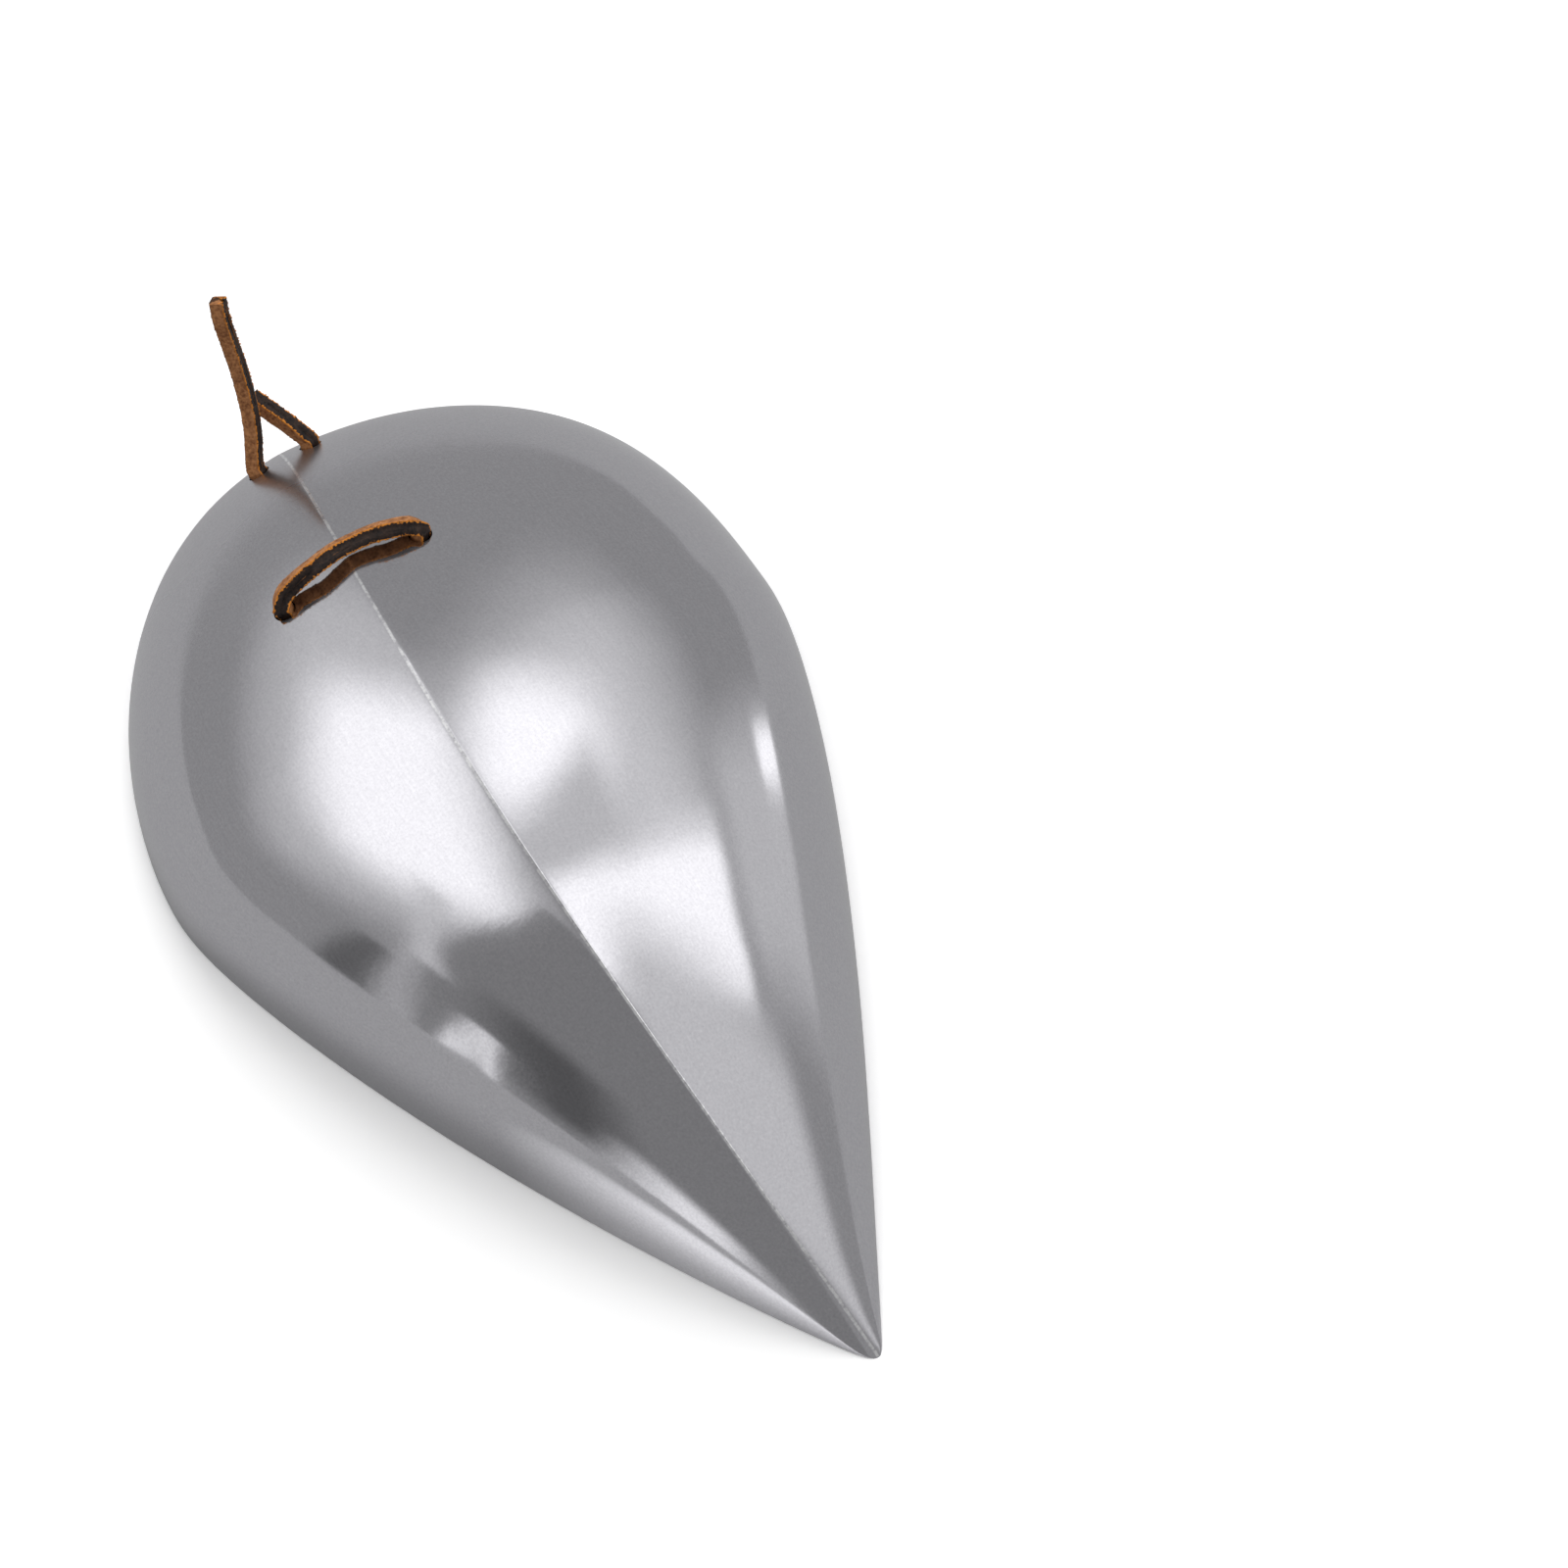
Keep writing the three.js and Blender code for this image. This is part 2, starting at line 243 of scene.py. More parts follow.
# A flat grid is laid over one wall. Its last columns on each side turn under the rim.
def layWall(bm, isInner):
    stepsAcross, rimSteps = shell["stepsAcross"], shell["rimSteps"]
    columns = stepsAcross + rimSteps
    made = bmesh.ops.create_grid(bm, x_segments=2 * columns, y_segments=shell["stepsAlong"], size=1)
    for vert in made["verts"]:
        half = outerHalf if vert.co.x < 0 else innerHalf
        column = round(abs(vert.co.x) * columns)
        turn = (1 - vert.co.y) / 2
        along = shell["length"] * (1 - math.cos(math.pi * turn)) / 2
        place = outerWallPlace(along, half, min(1.0, column / stepsAcross))
        ridge = ridgeHeight(along)
        rimRound = min(shell["rimRound"], 0.25 * ridge)
        if isInner:
            inwards = place - toInnerWall(place, half)
            place = toInnerWall(place, half)
        else:
            inwards = toInnerWall(place, half) - place
        if column > stepsAcross:
            angle = math.pi / 2 * (column - stepsAcross) / rimSteps
            inwards.z = 0
            place += inwards.normalized() * rimRound * (1 - math.cos(angle))
            place.z = rimRound * (1 - math.sin(angle))
        elif ridge > 0:
            place.z += rimRound * max(0.0, 1 - place.z / ridge)
        vert.co = Vector((place.x + shell["lineX"], shell["roundEndY"] - place.y, place.z))
    faces = list({face for vert in made["verts"] for face in vert.link_faces})
    if sum(face.calc_area() * face.normal.z for face in faces) < 0:
        bmesh.ops.reverse_faces(bm, faces=faces)
    return made["verts"], faces


# A dent is round, and a ninth of its depth is left at its radius
def dentDepth(place, along, beside, radius, depth):
    centre = offShell(along, beside, 0)
    near = (place - centre).length / radius
    return depth * math.exp(-2.2 * near * near)


def hammerTheWall(bm, wallVerts):
    bm.normal_update()
    moves = []
    for vert in wallVerts:
        broad = noise.noise(vert.co / hammering["broadSpacing"] + Vector((3.1, 7.7, 1.3)))
        fine = noise.noise(vert.co / hammering["fineSpacing"] + Vector((9.2, 0.4, 5.8)))
        lift = broad * hammering["broadHeight"] + fine * hammering["fineHeight"]
        for dent in hammering["dents"]:
            lift -= dentDepth(vert.co, *dent)
        fade = clamp01(vert.co.z / hammering["fadesBelow"])
        moves.append((vert, vert.normal.copy(), lift * fade))
    for vert, outward, lift in moves:
        vert.co += outward * lift


def addDrill(bm, along, beside):
    place, outward = shellFrame(along, beside)
    diagonal = math.hypot(lace["width"], lace["thickness"])
    radius = diagonal / 2 + lace["clearance"]
    turn = outward.to_track_quat("Z", "Y").to_matrix().to_4x4()
    made = bmesh.ops.create_cone(bm, cap_ends=True, segments=lace["holeSides"], radius1=radius,
                                 radius2=radius, depth=8 * shell["plate"])
    bmesh.ops.transform(bm, matrix=turn, verts=made["verts"])
    bmesh.ops.translate(bm, vec=place, verts=made["verts"])


# The plate is cut by round drills, and the cut mesh is kept without its modifier
def punchHoles(bm):
    plateMesh = bpy.data.meshes.new("plateBlank")
    bm.to_mesh(plateMesh)
    blank = bpy.data.objects.new("plateBlank", plateMesh)
    drillBm = bmesh.new()
    for along, beside in holePlaces():
        addDrill(drillBm, along, beside)
    drillMesh = bpy.data.meshes.new("drills")
    drillBm.to_mesh(drillMesh)
    drillBm.free()
    drills = bpy.data.objects.new("drills", drillMesh)
    for made in (blank, drills):
        bpy.context.scene.collection.objects.link(made)
    cut = blank.modifiers.new("holes", "BOOLEAN")
    cut.operation = "DIFFERENCE"
    cut.solver = "EXACT"
    cut.object = drills
    evaluated = blank.evaluated_get(bpy.context.evaluated_depsgraph_get())
    bm.clear()
    bm.from_mesh(evaluated.to_mesh())
    evaluated.to_mesh_clear()
    for made in (blank, drills):
        bpy.data.objects.remove(made)
    bpy.data.meshes.remove(plateMesh)
    bpy.data.meshes.remove(drillMesh)


# u tells how far beside the ridge and v how far from the round end, in metres
def mapPlate(bm):
    uvLayer = bm.loops.layers.uv.new("plate")
    for face in bm.faces:
        for loop in face.loops:
            along = shell["roundEndY"] - loop.vert.co.y
            loop[uvLayer].uv = (loop.vert.co.x - shell["lineX"] - ridgeX(along), along)


def makeShell(material):
    bm = bmesh.new()
    for isInner in (False, True):
        wallVerts, wallFaces = layWall(bm, isInner)
        hammerTheWall(bm, wallVerts)
        if isInner:
            bmesh.ops.reverse_faces(bm, faces=wallFaces)
    bmesh.ops.remove_doubles(bm, verts=bm.verts, dist=0.003 * mm)
    bmesh.ops.bridge_loops(bm, edges=[item for item in bm.edges if item.is_boundary])
    bmesh.ops.recalc_face_normals(bm, faces=bm.faces)
    punchHoles(bm)
    mapPlate(bm)
    for face in bm.faces:
        face.smooth = True
    piece = finishPiece(bm, "shell_plate", material, "pauldron_shell")
    piece.data.set_sharp_from_angle(angle=math.radians(38))
    return piece


# Route of the lace, as the solid has it. Free ends: across, back and up from the mouth of the
# rear hole, as shares of the end's length.
upperEnd = [
    (0.168, 0.530, 0.804),
    (0.150, 0.480, 0.708),
    (0.140, 0.408, 0.586),
    (0.128, 0.328, 0.456),
    (0.106, 0.240, 0.322),
    (0.072, 0.150, 0.196),
]
upperEndFaces = (0.80, -0.45, 0.42)
lowerEnd = [
    (-0.37, 0.80, 0.42),
    (-0.26, 0.58, 0.33),
    (-0.15, 0.36, 0.24),
]
lowerEndFaces = (0.45, -0.1, 0.9)

# The loop over the ridge: beside as a share of the half spacing, back and lift in lace widths,
# and the way the grain side faces
loopArch = [
    (-0.90, 0.35, 0.75, (-0.45, -0.80, 0.40)),
    (-0.68, 0.55, 0.93, (-0.30, -0.75, 0.60)),
    (-0.42, 0.62, 1.08, (-0.22, -0.70, 0.68)),
    (-0.14, 0.85, 0.98, (-0.16, -0.68, 0.72)),
    (0.12, 0.97, 0.85, (-0.08, -0.68, 0.72)),
    (0.37, 0.85, 0.92, (0.00, -0.70, 0.68)),
    (0.60, 0.60, 0.95, (0.10, -0.75, 0.60)),
    (0.89, 0.32, 0.72, (0.30, -0.85, 0.35)),
]


def throughHole(along, beside, faces):
    plate = shell["plate"]
    lifts = [0.4 * lace["width"], 0, -plate, -plate - 0.3 * lace["bendRadius"]]
    return [(offShell(along, beside, lift), Vector(faces)) for lift in lifts]


def underPlate(side, facesFrom, facesVia, facesTo):
    diagonal = math.hypot(lace["width"], lace["thickness"])
    touching = shell["plate"] + lace["clearance"] + diagonal / 2
    slack = shell["plate"] + lace["bendRadius"] + 0.3 * lace["width"]
    start = lace["rearHoleSetback"] + lace["bendRadius"]
    end = lace["loopHoleSetback"] - lace["bendRadius"]
    rows = []
    for step in range(lace["underPlateSteps"] + 1):
        share = step / lace["underPlateSteps"]
        beside = side * lerp(lace["rearHoleSpacing"], lace["loopHoleSpacing"], share) / 2
        lift = -lerp(touching, slack, abs(2 * share - 1) ** 4)
        first, second = (facesFrom, facesVia) if share < 0.5 else (facesVia, facesTo)
        turn = 2 * share if share < 0.5 else 2 * share - 1
        faces = Vector(first).lerp(Vector(second), turn)
        rows.append((offShell(lerp(start, end, share), beside, lift), faces))
    return rows


def freeEnd(rows, side, length, faces):
    mouth = offShell(lace["rearHoleSetback"], side * lace["rearHoleSpacing"] / 2, 0)
    return [(mouth + Vector(row) * length, Vector(faces)) for row in rows]


def laceRoute():
    rear, loop = lace["rearHoleSpacing"] / 2, lace["loopHoleSpacing"] / 2
    rearAt, loopAt = lace["rearHoleSetback"], lace["loopHoleSetback"]
    outerSide, innerSide, downwards = (-0.5, -1, 0), (0.5, -1, 0), (0, 0, -1)
    arch = []
    for beside, back, lift, faces in loopArch:
        place = offShell(loopAt - back * lace["width"], beside * loop, lift * lace["width"])
        arch.append((place, Vector(faces)))
    return (
        freeEnd(upperEnd, -1, lace["upperEndLength"], upperEndFaces)
        + throughHole(rearAt, -rear, upperEndFaces)
        + underPlate(-1, upperEndFaces, downwards, outerSide)
        + throughHole(loopAt, -loop, outerSide)[::-1]
        + arch
        + throughHole(loopAt, loop, innerSide)
        + underPlate(1, innerSide, innerSide, innerSide)[::-1]
        + throughHole(rearAt, rear, innerSide)[::-1]
        + freeEnd(lowerEnd, 1, lace["lowerEndLength"], lowerEndFaces)[::-1]
    )


# A point between four rows of the route, on a centripetal curve through the middle two
def curvePoint(p0, p1, p2, p3, share):
    knots = [0.0]
    for first, second in ((p0, p1), (p1, p2), (p2, p3)):
        knots.append(knots[-1] + max(1e-9, math.sqrt((second - first).length)))
    t0, t1, t2, t3 = knots
    t = lerp(t1, t2, share)
    a1 = p0.lerp(p1, (t - t0) / (t1 - t0))
    a2 = p1.lerp(p2, (t - t1) / (t2 - t1))
    a3 = p2.lerp(p3, (t - t2) / (t3 - t2))
    b1 = a1.lerp(a2, (t - t0) / (t2 - t0))
    b2 = a2.lerp(a3, (t - t1) / (t3 - t1))
    return b1.lerp(b2, (t - t1) / (t2 - t1))


def smoothRoute(rows):
    places = [place for place, faces in rows]
    first = places[0] * 2 - places[1]
    last = places[-1] * 2 - places[-2]
    padded = [first] + places + [last]
    points = []
    for number in range(len(rows) - 1):
        span = (places[number + 1] - places[number]).length
        pieces = max(1, math.ceil(span / lace["sectionStep"]))
        for piece in range(pieces):
            share = piece / pieces
            place = curvePoint(*padded[number:number + 4], share)
            points.append((place, rows[number][1].lerp(rows[number + 1][1], share)))
    points.append((places[-1].copy(), rows[-1][1].copy()))
    return points


# Round the strip: grain side, one cut edge, flesh side, other cut edge
def sectionPoint(share):
    angle = 2 * math.pi * share
    across, up = math.sin(angle), math.cos(angle)
    power = 2 / lace["cornerPower"]
    x = math.copysign(abs(across) ** power, across)
    y = math.copysign(abs(up) ** power, up)
    return x * lace["bodyWidth"] / 2, y * lace["bodyThickness"] / 2


# Fibres stand out of the four corners, most at the two beside the grain side
def frayAt(share, length):
    fromGrain = min(share, 1 - share)
    nearCorner = max(1 - abs(fromGrain - 0.125) / 0.035, 0.6 - abs(fromGrain - 0.375) / 0.05, 0)
    fibre = noise.noise(Vector((length / lace["fibreSpacing"], 40 * share, 2.7)))
    clump = noise.noise(Vector((length / lace["clumpSpacing"], 9 * share, 8.1)))
    return lace["frayHeight"] * nearCorner * (max(0, fibre + 0.15) * 1.7 + 0.6 * clump)


def makeLace(material):
    points = smoothRoute(laceRoute())
    bm = bmesh.new()
    bmesh.ops.create_grid(bm, x_segments=lace["sectionPoints"], y_segments=len(points) - 1, size=1)
    uvLayer = bm.loops.layers.uv.new("strip")
    lengths = [0.0]
    for first, second in zip(points, points[1:]):
        lengths.append(lengths[-1] + (second[0] - first[0]).length)
    for vert in bm.verts:
        row = round((vert.co.y + 1) / 2 * (len(points) - 1))
        share = (vert.co.x + 1) / 2
        for loop in vert.link_loops:
            loop[uvLayer].uv = (lengths[row], share)
        place, faces = points[row]
        before = points[max(0, row - 1)][0]
        after = points[min(len(points) - 1, row + 1)][0]
        forward = (after - before).normalized()
        grain = (faces - forward * faces.dot(forward)).normalized()
        edge = grain.cross(forward)
        x, y = sectionPoint(share)
        wave = noise.noise(Vector((lengths[row] / lace["waveSpacing"], 3 * share, 4.4)))
        outwards = (edge * x + grain * y).normalized()
        uneven = wave * lace["waviness"] + frayAt(share, lengths[row])
        vert.co = place + edge * x + grain * y + outwards * uneven
    bmesh.ops.remove_doubles(bm, verts=bm.verts, dist=0.002 * mm)
    bmesh.ops.holes_fill(bm, edges=[item for item in bm.edges if item.is_boundary])
    bmesh.ops.recalc_face_normals(bm, faces=bm.faces)
    for face in bm.faces:
        face.smooth = len(face.verts) < 5
    print("lace length", round(lengths[-1] / mm, 1), "mm")
    return finishPiece(bm, "lace_strip", material, "leather_lace")


# Materials

def newMaterial(name):
    material = bpy.data.materials.new(name)
    material.use_nodes = True
    nodes = material.node_tree.nodes
    return material, nodes, material.node_tree.links, nodes["Principled BSDF"]


def addNoise(nodes, links, vectorSocket, stretch, scale, detail):
    mapping = nodes.new("ShaderNodeMapping")
    mapping.inputs["Scale"].default_value = stretch
    links.new(vectorSocket, mapping.inputs["Vector"])
    texture = nodes.new("ShaderNodeTexNoise")
    texture.inputs["Scale"].default_value = scale
    texture.inputs["Detail"].default_value = detail
    links.new(mapping.outputs["Vector"], texture.inputs["Vector"])
    return texture.outputs["Fac"]


def addRange(nodes, links, source, low, high, lowTo, highTo):
    ranger = nodes.new("ShaderNodeMapRange")
    for name, value in (("From Min", low), ("From Max", high), ("To Min", lowTo), ("To Max", highTo)):
        ranger.inputs[name].default_value = value
    links.new(source, ranger.inputs["Value"])
    return ranger.outputs["Result"]


def addBump(nodes, links, height, strength, distance):
    bump = nodes.new("ShaderNodeBump")
    bump.inputs["Strength"].default_value = strength
    bump.inputs["Distance"].default_value = distance
    links.new(height, bump.inputs["Height"])
    return bump.outputs["Normal"]


def addMath(nodes, links, operation, first, second):
    step = nodes.new("ShaderNodeMath")
    step.operation = operation
    for socket, value in zip(step.inputs, (first, second)):
        if isinstance(value, (int, float)):
            socket.default_value = value
        else:
            links.new(value, socket)
    return step.outputs["Value"]


def addRamp(nodes, links, source, *stops):
    ramp = nodes.new("ShaderNodeValToRGB")
    elements = ramp.color_ramp.elements
    while len(elements) < len(stops):
        elements.new(0.5)
    for element, (position, colour) in zip(elements, stops):
        element.position = position
        element.color = (*colour, 1)
    links.new(source, ramp.inputs["Fac"])
    return ramp.outputs["Color"]


def addMix(nodes, links, share, first, second):
    mix = nodes.new("ShaderNodeMix")
    mix.data_type = "RGBA"
    colours = [socket for socket in mix.inputs if socket.type == "RGBA"]
    links.new(share, mix.inputs["Factor"])
    links.new(first, colours[0])
    links.new(second, colours[1])
    return [socket for socket in mix.outputs if socket.type == "RGBA"][0]


# Finish of the steel: lengths in metres, noise scales in features to the metre
steel = {
    "dull": (0.511, 0.505, 0.533),
    "bright": (0.613, 0.607, 0.636),
    # top of the colour ramp: the painted highlight along the crest
    "paintedCrestHighlight": (0.93, 0.93, 0.94),
    "brushing": (2100, 75, 2100),
    "brushingShare": 0.35,        # the rest of the unevenness is grain
    "grain": 1500,
    "cloud": 26,
    "roughness": (0.080, 0.115),
    "roundEndDuller": 0.22,       # more roughness at the round end, where it is worn
    "dullerTo": 18 * mm,
    "clearFrom": 66 * mm,
    # painted highlight: the crest gets brighter colour over this width, broken by nicks
    "crestWidth": 0.55 * mm,
    "crestPaintedHighlight": 0.44,
    "crestNicks": 420,            # where the bright crest is broken
    "specks": 330,
    "speckDarker": 0.30,
    "peel": 380,                  # orange peel that the polishing left
    "peelHeight": 0.05 * mm,
    "peelStrength": 0.12,
}


def makeSteel():
    material, nodes, links, shader = newMaterial("satinSteel")
    place = nodes.new("ShaderNodeTexCoord").outputs["Object"]
    plateMap = nodes.new("ShaderNodeUVMap")
    plateMap.uv_map = "plate"
    plate = nodes.new("ShaderNodeSeparateXYZ")
    links.new(plateMap.outputs["UV"], plate.inputs["Vector"])

    # brushing along the axis and grain make the colour uneven; slow clouds vary the roughness
    brushing = addNoise(nodes, links, place, steel["brushing"], 1, 3)
    grain = addNoise(nodes, links, place, (1, 1, 1), steel["grain"], 2)
    cloud = addNoise(nodes, links, place, (1, 1, 1), steel["cloud"], 4)
    brushing = addMath(nodes, links, "MULTIPLY", brushing, steel["brushingShare"])
    grain = addMath(nodes, links, "MULTIPLY", grain, 1 - steel["brushingShare"])
    uneven = addMath(nodes, links, "ADD", brushing, grain)

    # a highlight is painted along the crest of the ridge as brighter colour, broken by nicks
    fromRidge = addMath(nodes, links, "ABSOLUTE", plate.outputs["X"], 0)
    crestWidth = steel["crestWidth"]
    crest = addRange(nodes, links, fromRidge, 0.4 * crestWidth, crestWidth, steel["crestPaintedHighlight"], 0)
    nicks = addNoise(nodes, links, place, (1, 1, 1), steel["crestNicks"], 3)
    nicks = addRange(nodes, links, nicks, 0.36, 0.56, 0.5, 1.1)
    crest = addMath(nodes, links, "MULTIPLY", crest, nicks)
    uneven = addMath(nodes, links, "ADD", uneven, crest)

    specks = nodes.new("ShaderNodeTexVoronoi")
    specks.inputs["Scale"].default_value = steel["specks"]
    links.new(place, specks.inputs["Vector"])
    speck = addRange(nodes, links, specks.outputs["Distance"], 0.05, 0.09, steel["speckDarker"], 0)
    uneven = addMath(nodes, links, "SUBTRACT", uneven, speck)
    colour = addRamp(nodes, links, uneven, (0.30, steel["dull"]), (0.70, steel["bright"]),
                     (1.0, steel["paintedCrestHighlight"]))
    links.new(colour, shader.inputs["Base Color"])
    shader.inputs["Metallic"].default_value = 1

    gloss = addRange(nodes, links, cloud, 0.3, 0.7, *steel["roughness"])
    worn = addRange(nodes, links, plate.outputs["Y"], steel["dullerTo"], steel["clearFrom"],
                    steel["roundEndDuller"], 0)
    links.new(addMath(nodes, links, "ADD", gloss, worn), shader.inputs["Roughness"])
    peel = addNoise(nodes, links, place, (1, 1, 1), steel["peel"], 2)
    bump = addBump(nodes, links, peel, steel["peelStrength"], steel["peelHeight"])
    links.new(bump, shader.inputs["Normal"])
    return material


# Finish of the leather: v goes round the strip from the middle of the grain side
leather = {
    "grainDark": (0.008, 0.005, 0.005),
    "grainPale": (0.046, 0.026, 0.018),
    "cutDark": (0.170, 0.062, 0.022),
    "cutPale": (0.500, 0.225, 0.090),
    "rim": (0.760, 0.270, 0.035),
    "flesh": (0.075, 0.034, 0.018),
    "rimFrom": 0.082,             # shares of the way round, from the middle of the grain side
    "rimTo": 0.150,
    "fleshFrom": 0.385,
    "borderSoft": 0.01,
    "ragged": 0.10,               # how far the borders wander
    "fibre": 1500,
}


def makeLeather():
    material, nodes, links, shader = newMaterial("laceLeather")
    place = nodes.new("ShaderNodeTexCoord").outputs["Object"]
    stripMap = nodes.new("ShaderNodeUVMap")
    stripMap.uv_map = "strip"
    strip = nodes.new("ShaderNodeSeparateXYZ")
    links.new(stripMap.outputs["UV"], strip.inputs["Vector"])
    fibre = addNoise(nodes, links, place, (1, 1, 1), leather["fibre"], 4)
    patches = addNoise(nodes, links, place, (1, 1, 1), 0.3 * leather["fibre"], 3)
    fromGrain = addMath(nodes, links, "PINGPONG", strip.outputs["Y"], 0.5)
    wander = leather["ragged"] / 2
    ragged = addRange(nodes, links, fibre, 0.3, 0.7, -wander, wander)
    fromGrain = addMath(nodes, links, "ADD", fromGrain, ragged)
    mottled = addMath(nodes, links, "MULTIPLY", addMath(nodes, links, "ADD", fibre, patches), 0.5)
    grainSide = addRamp(nodes, links, mottled,
                        (0.38, leather["grainDark"]), (0.64, leather["grainPale"]))
    cutSide = addRamp(nodes, links, mottled, (0.36, leather["cutDark"]), (0.62, leather["cutPale"]))
    rim = addRamp(nodes, links, fibre, (0.28, leather["cutDark"]), (0.54, leather["rim"]))
    fleshSide = addRamp(nodes, links, mottled, (0.36, leather["grainDark"]), (0.62, leather["flesh"]))
    past = {}
    for border in ("rimFrom", "rimTo", "fleshFrom"):
        low = leather[border] - leather["borderSoft"]
        high = leather[border] + leather["borderSoft"]
        past[border] = addRange(nodes, links, fromGrain, low, high, 0, 1)
    colour = addMix(nodes, links, past["rimFrom"], grainSide, rim)
    colour = addMix(nodes, links, past["rimTo"], colour, cutSide)
    colour = addMix(nodes, links, past["fleshFrom"], colour, fleshSide)
    links.new(colour, shader.inputs["Base Color"])
    gloss = addRange(nodes, links, past["rimFrom"], 0, 1, 0.55, 0.9)
    links.new(gloss, shader.inputs["Roughness"])
    shader.inputs["Specular IOR Level"].default_value = 0.3
    links.new(addBump(nodes, links, fibre, 0.6, 0.18 * mm), shader.inputs["Normal"])
    return material


# Studio: a pale floor under an even sky, with soft light panels hung around the shell.
# A panel is its middle's azimuth (0 is +Y, 90 is +X) and elevation, half width, half height,
# roll and softness of the edge, all in degrees, and its radiance. Later ones hang in front.

studio = {
    "aim": Vector((60.7, -13.6, 0)) * mm,
    "cameraBack": Vector((-236.7, -369.0, 898.8)) * mm,
    "lens": 90,
    "floorSize": 6,
    "panels": {
        "overCrest": (90, 76, 40, 3.5, 0, 2, 1.7),  # only the rounded crest mirrors this one
        "haloOuter": (-42, 54, 36, 26, 0, 14, 0.80),
        "haloInner": (73, 51, 22, 20, 0, 14, 0.93),
        "keyOuter": (-49, 58, 22, 15, 0, 9, 1.65),
        "gapOuter": (-90.5, 8, 2.8, 14, 0, 1.2, 0.15),
        "frontDark": (-126, 0, 32.5, 76, 0, 1.5, 0.30),
        "frontCore": (-110, 20, 6, 15, 0, 5, 0.13),
        "arcLow": (-93.8, 14, 1.4, 18, -5, 1.0, 0.62),
        "arcHigh": (-89.5, 40, 1.7, 13, -20, 1.5, 0.85),
        "stripFar": (-101.5, 7, 1.3, 12, 4, 1.0, 1.3),
        "lowOuter": (-119, 5, 4, 9, 16, 5, 1.35),
        "keyInner": (60, 56, 10, 9, -20, 7, 1.75),
        "innerTop": (80, 62, 7, 12, 0, 3, 0.80),
        "lowInner": (94, 12, 9, 14, 0, 5, 0.78),
        "sideInner": (99, 50, 7, 20, 0, 2.5, 1.7),
        "pointInner": (124, 42, 14, 20, 0, 6, 0.85),
        "streakInner": (88, 0, 2, 8, 0, 1.5, 1.8),
    },
    "sky": 0.40,
    "shadowSun": {"azimuth": 26, "elevation": 38, "softness": 32, "strength": 1.2},
    "floorColour": 0.54,
    # a pool of light is painted on the floor beside the point: whiter colour there, which the steel
    # mirrors
    "paintedPointLightPool": {"x": -75 * mm, "y": -150 * mm, "near": 25 * mm, "far": 85 * mm, "more": 0.75},
    "floorToEye": 1.22,           # the floor reads whiter to the eye than to the steel
}


def makeCamera():
    data = bpy.data.cameras.new("camera")
    data.lens = studio["lens"]
    data.sensor_width = 36
    data.clip_end = 20
    camera = bpy.data.objects.new("camera", data)
    bpy.context.scene.collection.objects.link(camera)
    camera.location = studio["aim"] + studio["cameraBack"]
    camera.rotation_euler = (-studio["cameraBack"]).to_track_quat("-Z", "Y").to_euler()
    bpy.context.scene.camera = camera


# How much of one panel is seen in a direction replaces what is behind it by that much
def addPanel(nodes, links, towards, behind,
             azimuth, elevation, halfWide, halfHigh, roll, soft, light):
    a, e = math.radians(azimuth), math.radians(elevation)
    middle = Vector((math.sin(a) * math.cos(e), math.cos(a) * math.cos(e), math.sin(e)))
    across = Vector((math.cos(a), -math.sin(a), 0))
    turn = Matrix((across, middle.cross(across), middle)).transposed()
    turn = turn @ Matrix.Rotation(-math.radians(roll), 3, "Z")
    facing = nodes.new("ShaderNodeMapping")
    facing.vector_type = "TEXTURE"
    facing.inputs["Rotation"].default_value = turn.to_euler()
    links.new(towards, facing.inputs["Vector"])
    parts = nodes.new("ShaderNodeSeparateXYZ")
    links.new(facing.outputs["Vector"], parts.inputs["Vector"])
    ahead = addMath(nodes, links, "MAXIMUM", parts.outputs["Z"], 0.001)
    edge = math.tan(math.radians(soft))
    covers = []
    for side, angle in (("X", halfWide), ("Y", halfHigh)):
        beside = addMath(nodes, links, "DIVIDE", parts.outputs[side], ahead)
        beside = addMath(nodes, links, "ABSOLUTE", beside, 0)
        reach = math.tan(math.radians(angle))
        fade = nodes.new("ShaderNodeMapRange")
        fade.interpolation_type = "SMOOTHSTEP"
        for name, value in (("From Min", reach - edge), ("From Max", reach + edge),
                            ("To Min", 1), ("To Max", 0)):
            fade.inputs[name].default_value = value
        links.new(beside, fade.inputs["Value"])
        covers.append(fade.outputs["Result"])
    cover = addMath(nodes, links, "MULTIPLY", *covers)
    change = addMath(nodes, links, "SUBTRACT", light, behind)
    return addMath(nodes, links, "ADD", behind, addMath(nodes, links, "MULTIPLY", cover, change))


def makeSky():
    world = bpy.data.worlds.new("studioAir")
    world.use_nodes = True
    nodes, links = world.node_tree.nodes, world.node_tree.links
    towards = nodes.new("ShaderNodeTexCoord").outputs["Generated"]
    light = studio["sky"]
    for values in studio["panels"].values():
        light = addPanel(nodes, links, towards, light, *values)
    seenDirectly = nodes.new("ShaderNodeLightPath").outputs["Is Camera Ray"]
    light = addMath(nodes, links, "MAXIMUM", light, seenDirectly)  # past the floor all is white
    links.new(light, nodes["Background"].inputs["Strength"])
    nodes["Background"].inputs["Color"].default_value = (1, 1, 1, 1)
    bpy.context.scene.world = world


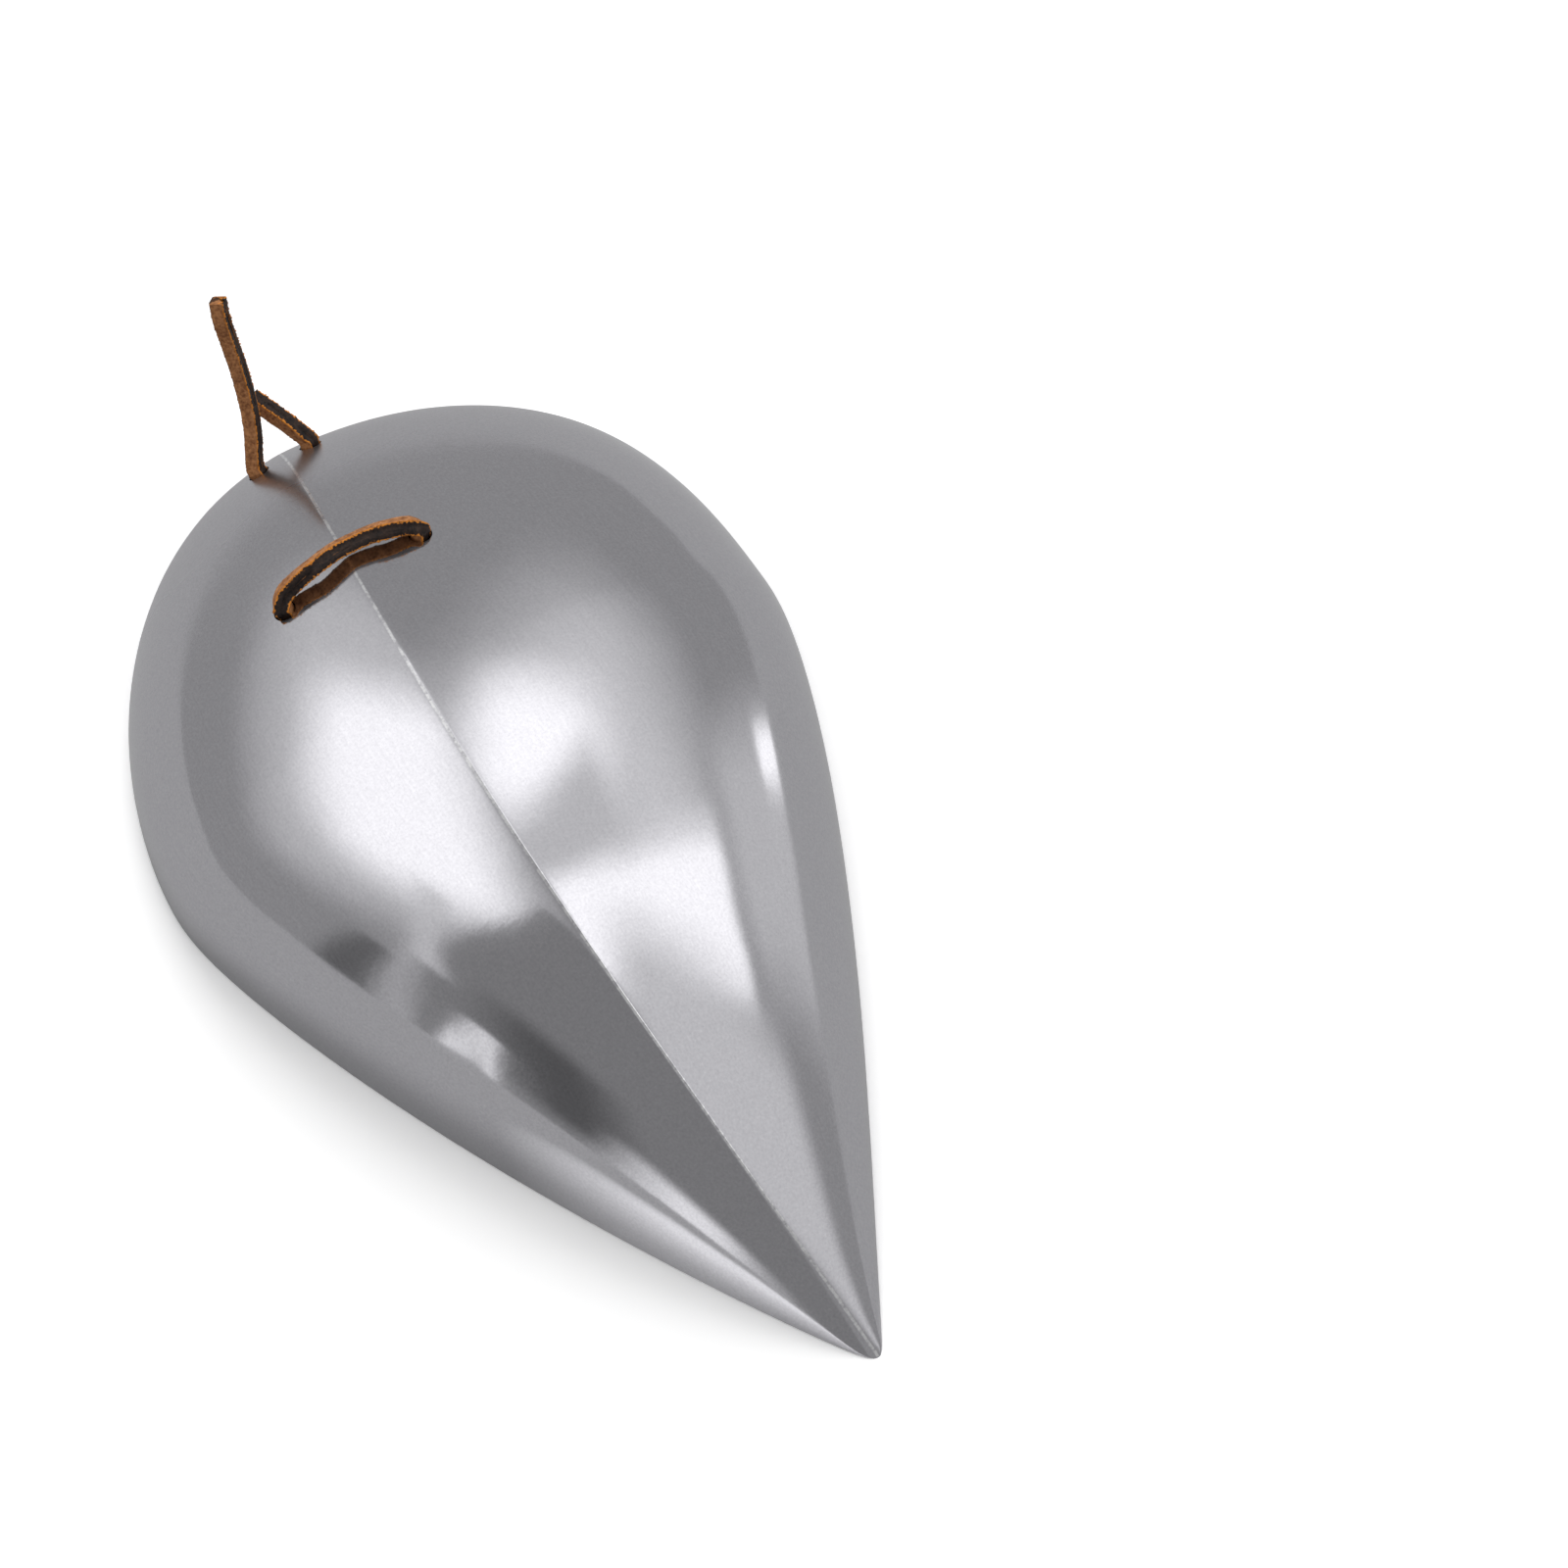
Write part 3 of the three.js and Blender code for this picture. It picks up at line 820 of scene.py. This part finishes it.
# Seen directly the floor is whiter, as the photograph's is, and its shadows keep their depth
def makeFloor():
    bm = bmesh.new()
    bmesh.ops.create_grid(bm, x_segments=1, y_segments=1, size=studio["floorSize"] / 2)
    mesh = bpy.data.meshes.new("floor")
    bm.to_mesh(mesh)
    bm.free()
    floor = bpy.data.objects.new("floor", mesh)
    bpy.context.scene.collection.objects.link(floor)
    material, nodes, links, shader = newMaterial("paleFloor")
    paper = nodes.new("ShaderNodeBsdfDiffuse")
    seenDirectly = nodes.new("ShaderNodeLightPath").outputs["Is Camera Ray"]
    # painted pool of light: near the point the floor's colour is whiter
    lightPool = studio["paintedPointLightPool"]
    away = nodes.new("ShaderNodeVectorMath")
    away.operation = "DISTANCE"
    away.inputs[1].default_value = (lightPool["x"], lightPool["y"], 0)
    links.new(nodes.new("ShaderNodeTexCoord").outputs["Object"], away.inputs[0])
    beside = addRange(nodes, links, away.outputs["Value"], lightPool["near"], lightPool["far"],
                      studio["floorColour"] + lightPool["more"], studio["floorColour"])
    whiteness = nodes.new("ShaderNodeMix")
    links.new(seenDirectly, whiteness.inputs["Factor"])
    links.new(beside, whiteness.inputs["A"])
    whiteness.inputs["B"].default_value = studio["floorToEye"]
    links.new(whiteness.outputs["Result"], paper.inputs["Color"])
    links.new(paper.outputs["BSDF"], nodes["Material Output"].inputs["Surface"])
    nodes.remove(shader)
    mesh.materials.append(material)


# A soft sun that the steel doesn't mirror gives the shadow its side
def makeShadowSun():
    values = studio["shadowSun"]
    data = bpy.data.lights.new("shadowSun", "SUN")
    data.angle = math.radians(values["softness"])
    data.energy = values["strength"]
    sun = bpy.data.objects.new("shadowSun", data)
    bpy.context.scene.collection.objects.link(sun)
    a, e = math.radians(values["azimuth"]), math.radians(values["elevation"])
    towards = Vector((math.sin(a) * math.cos(e), math.cos(a) * math.cos(e), math.sin(e)))
    sun.location = towards
    sun.rotation_euler = towards.to_track_quat("Z", "Y").to_euler()
    sun.visible_glossy = False


def makeStudio():
    makeFloor()
    makeSky()
    makeShadowSun()
    bpy.context.scene.view_settings.view_transform = "Standard"


makeCamera()
makeShell(makeSteel())
print("shell made")
makeLace(makeLeather())
print("lace made")
makeStudio()
print("studio made")
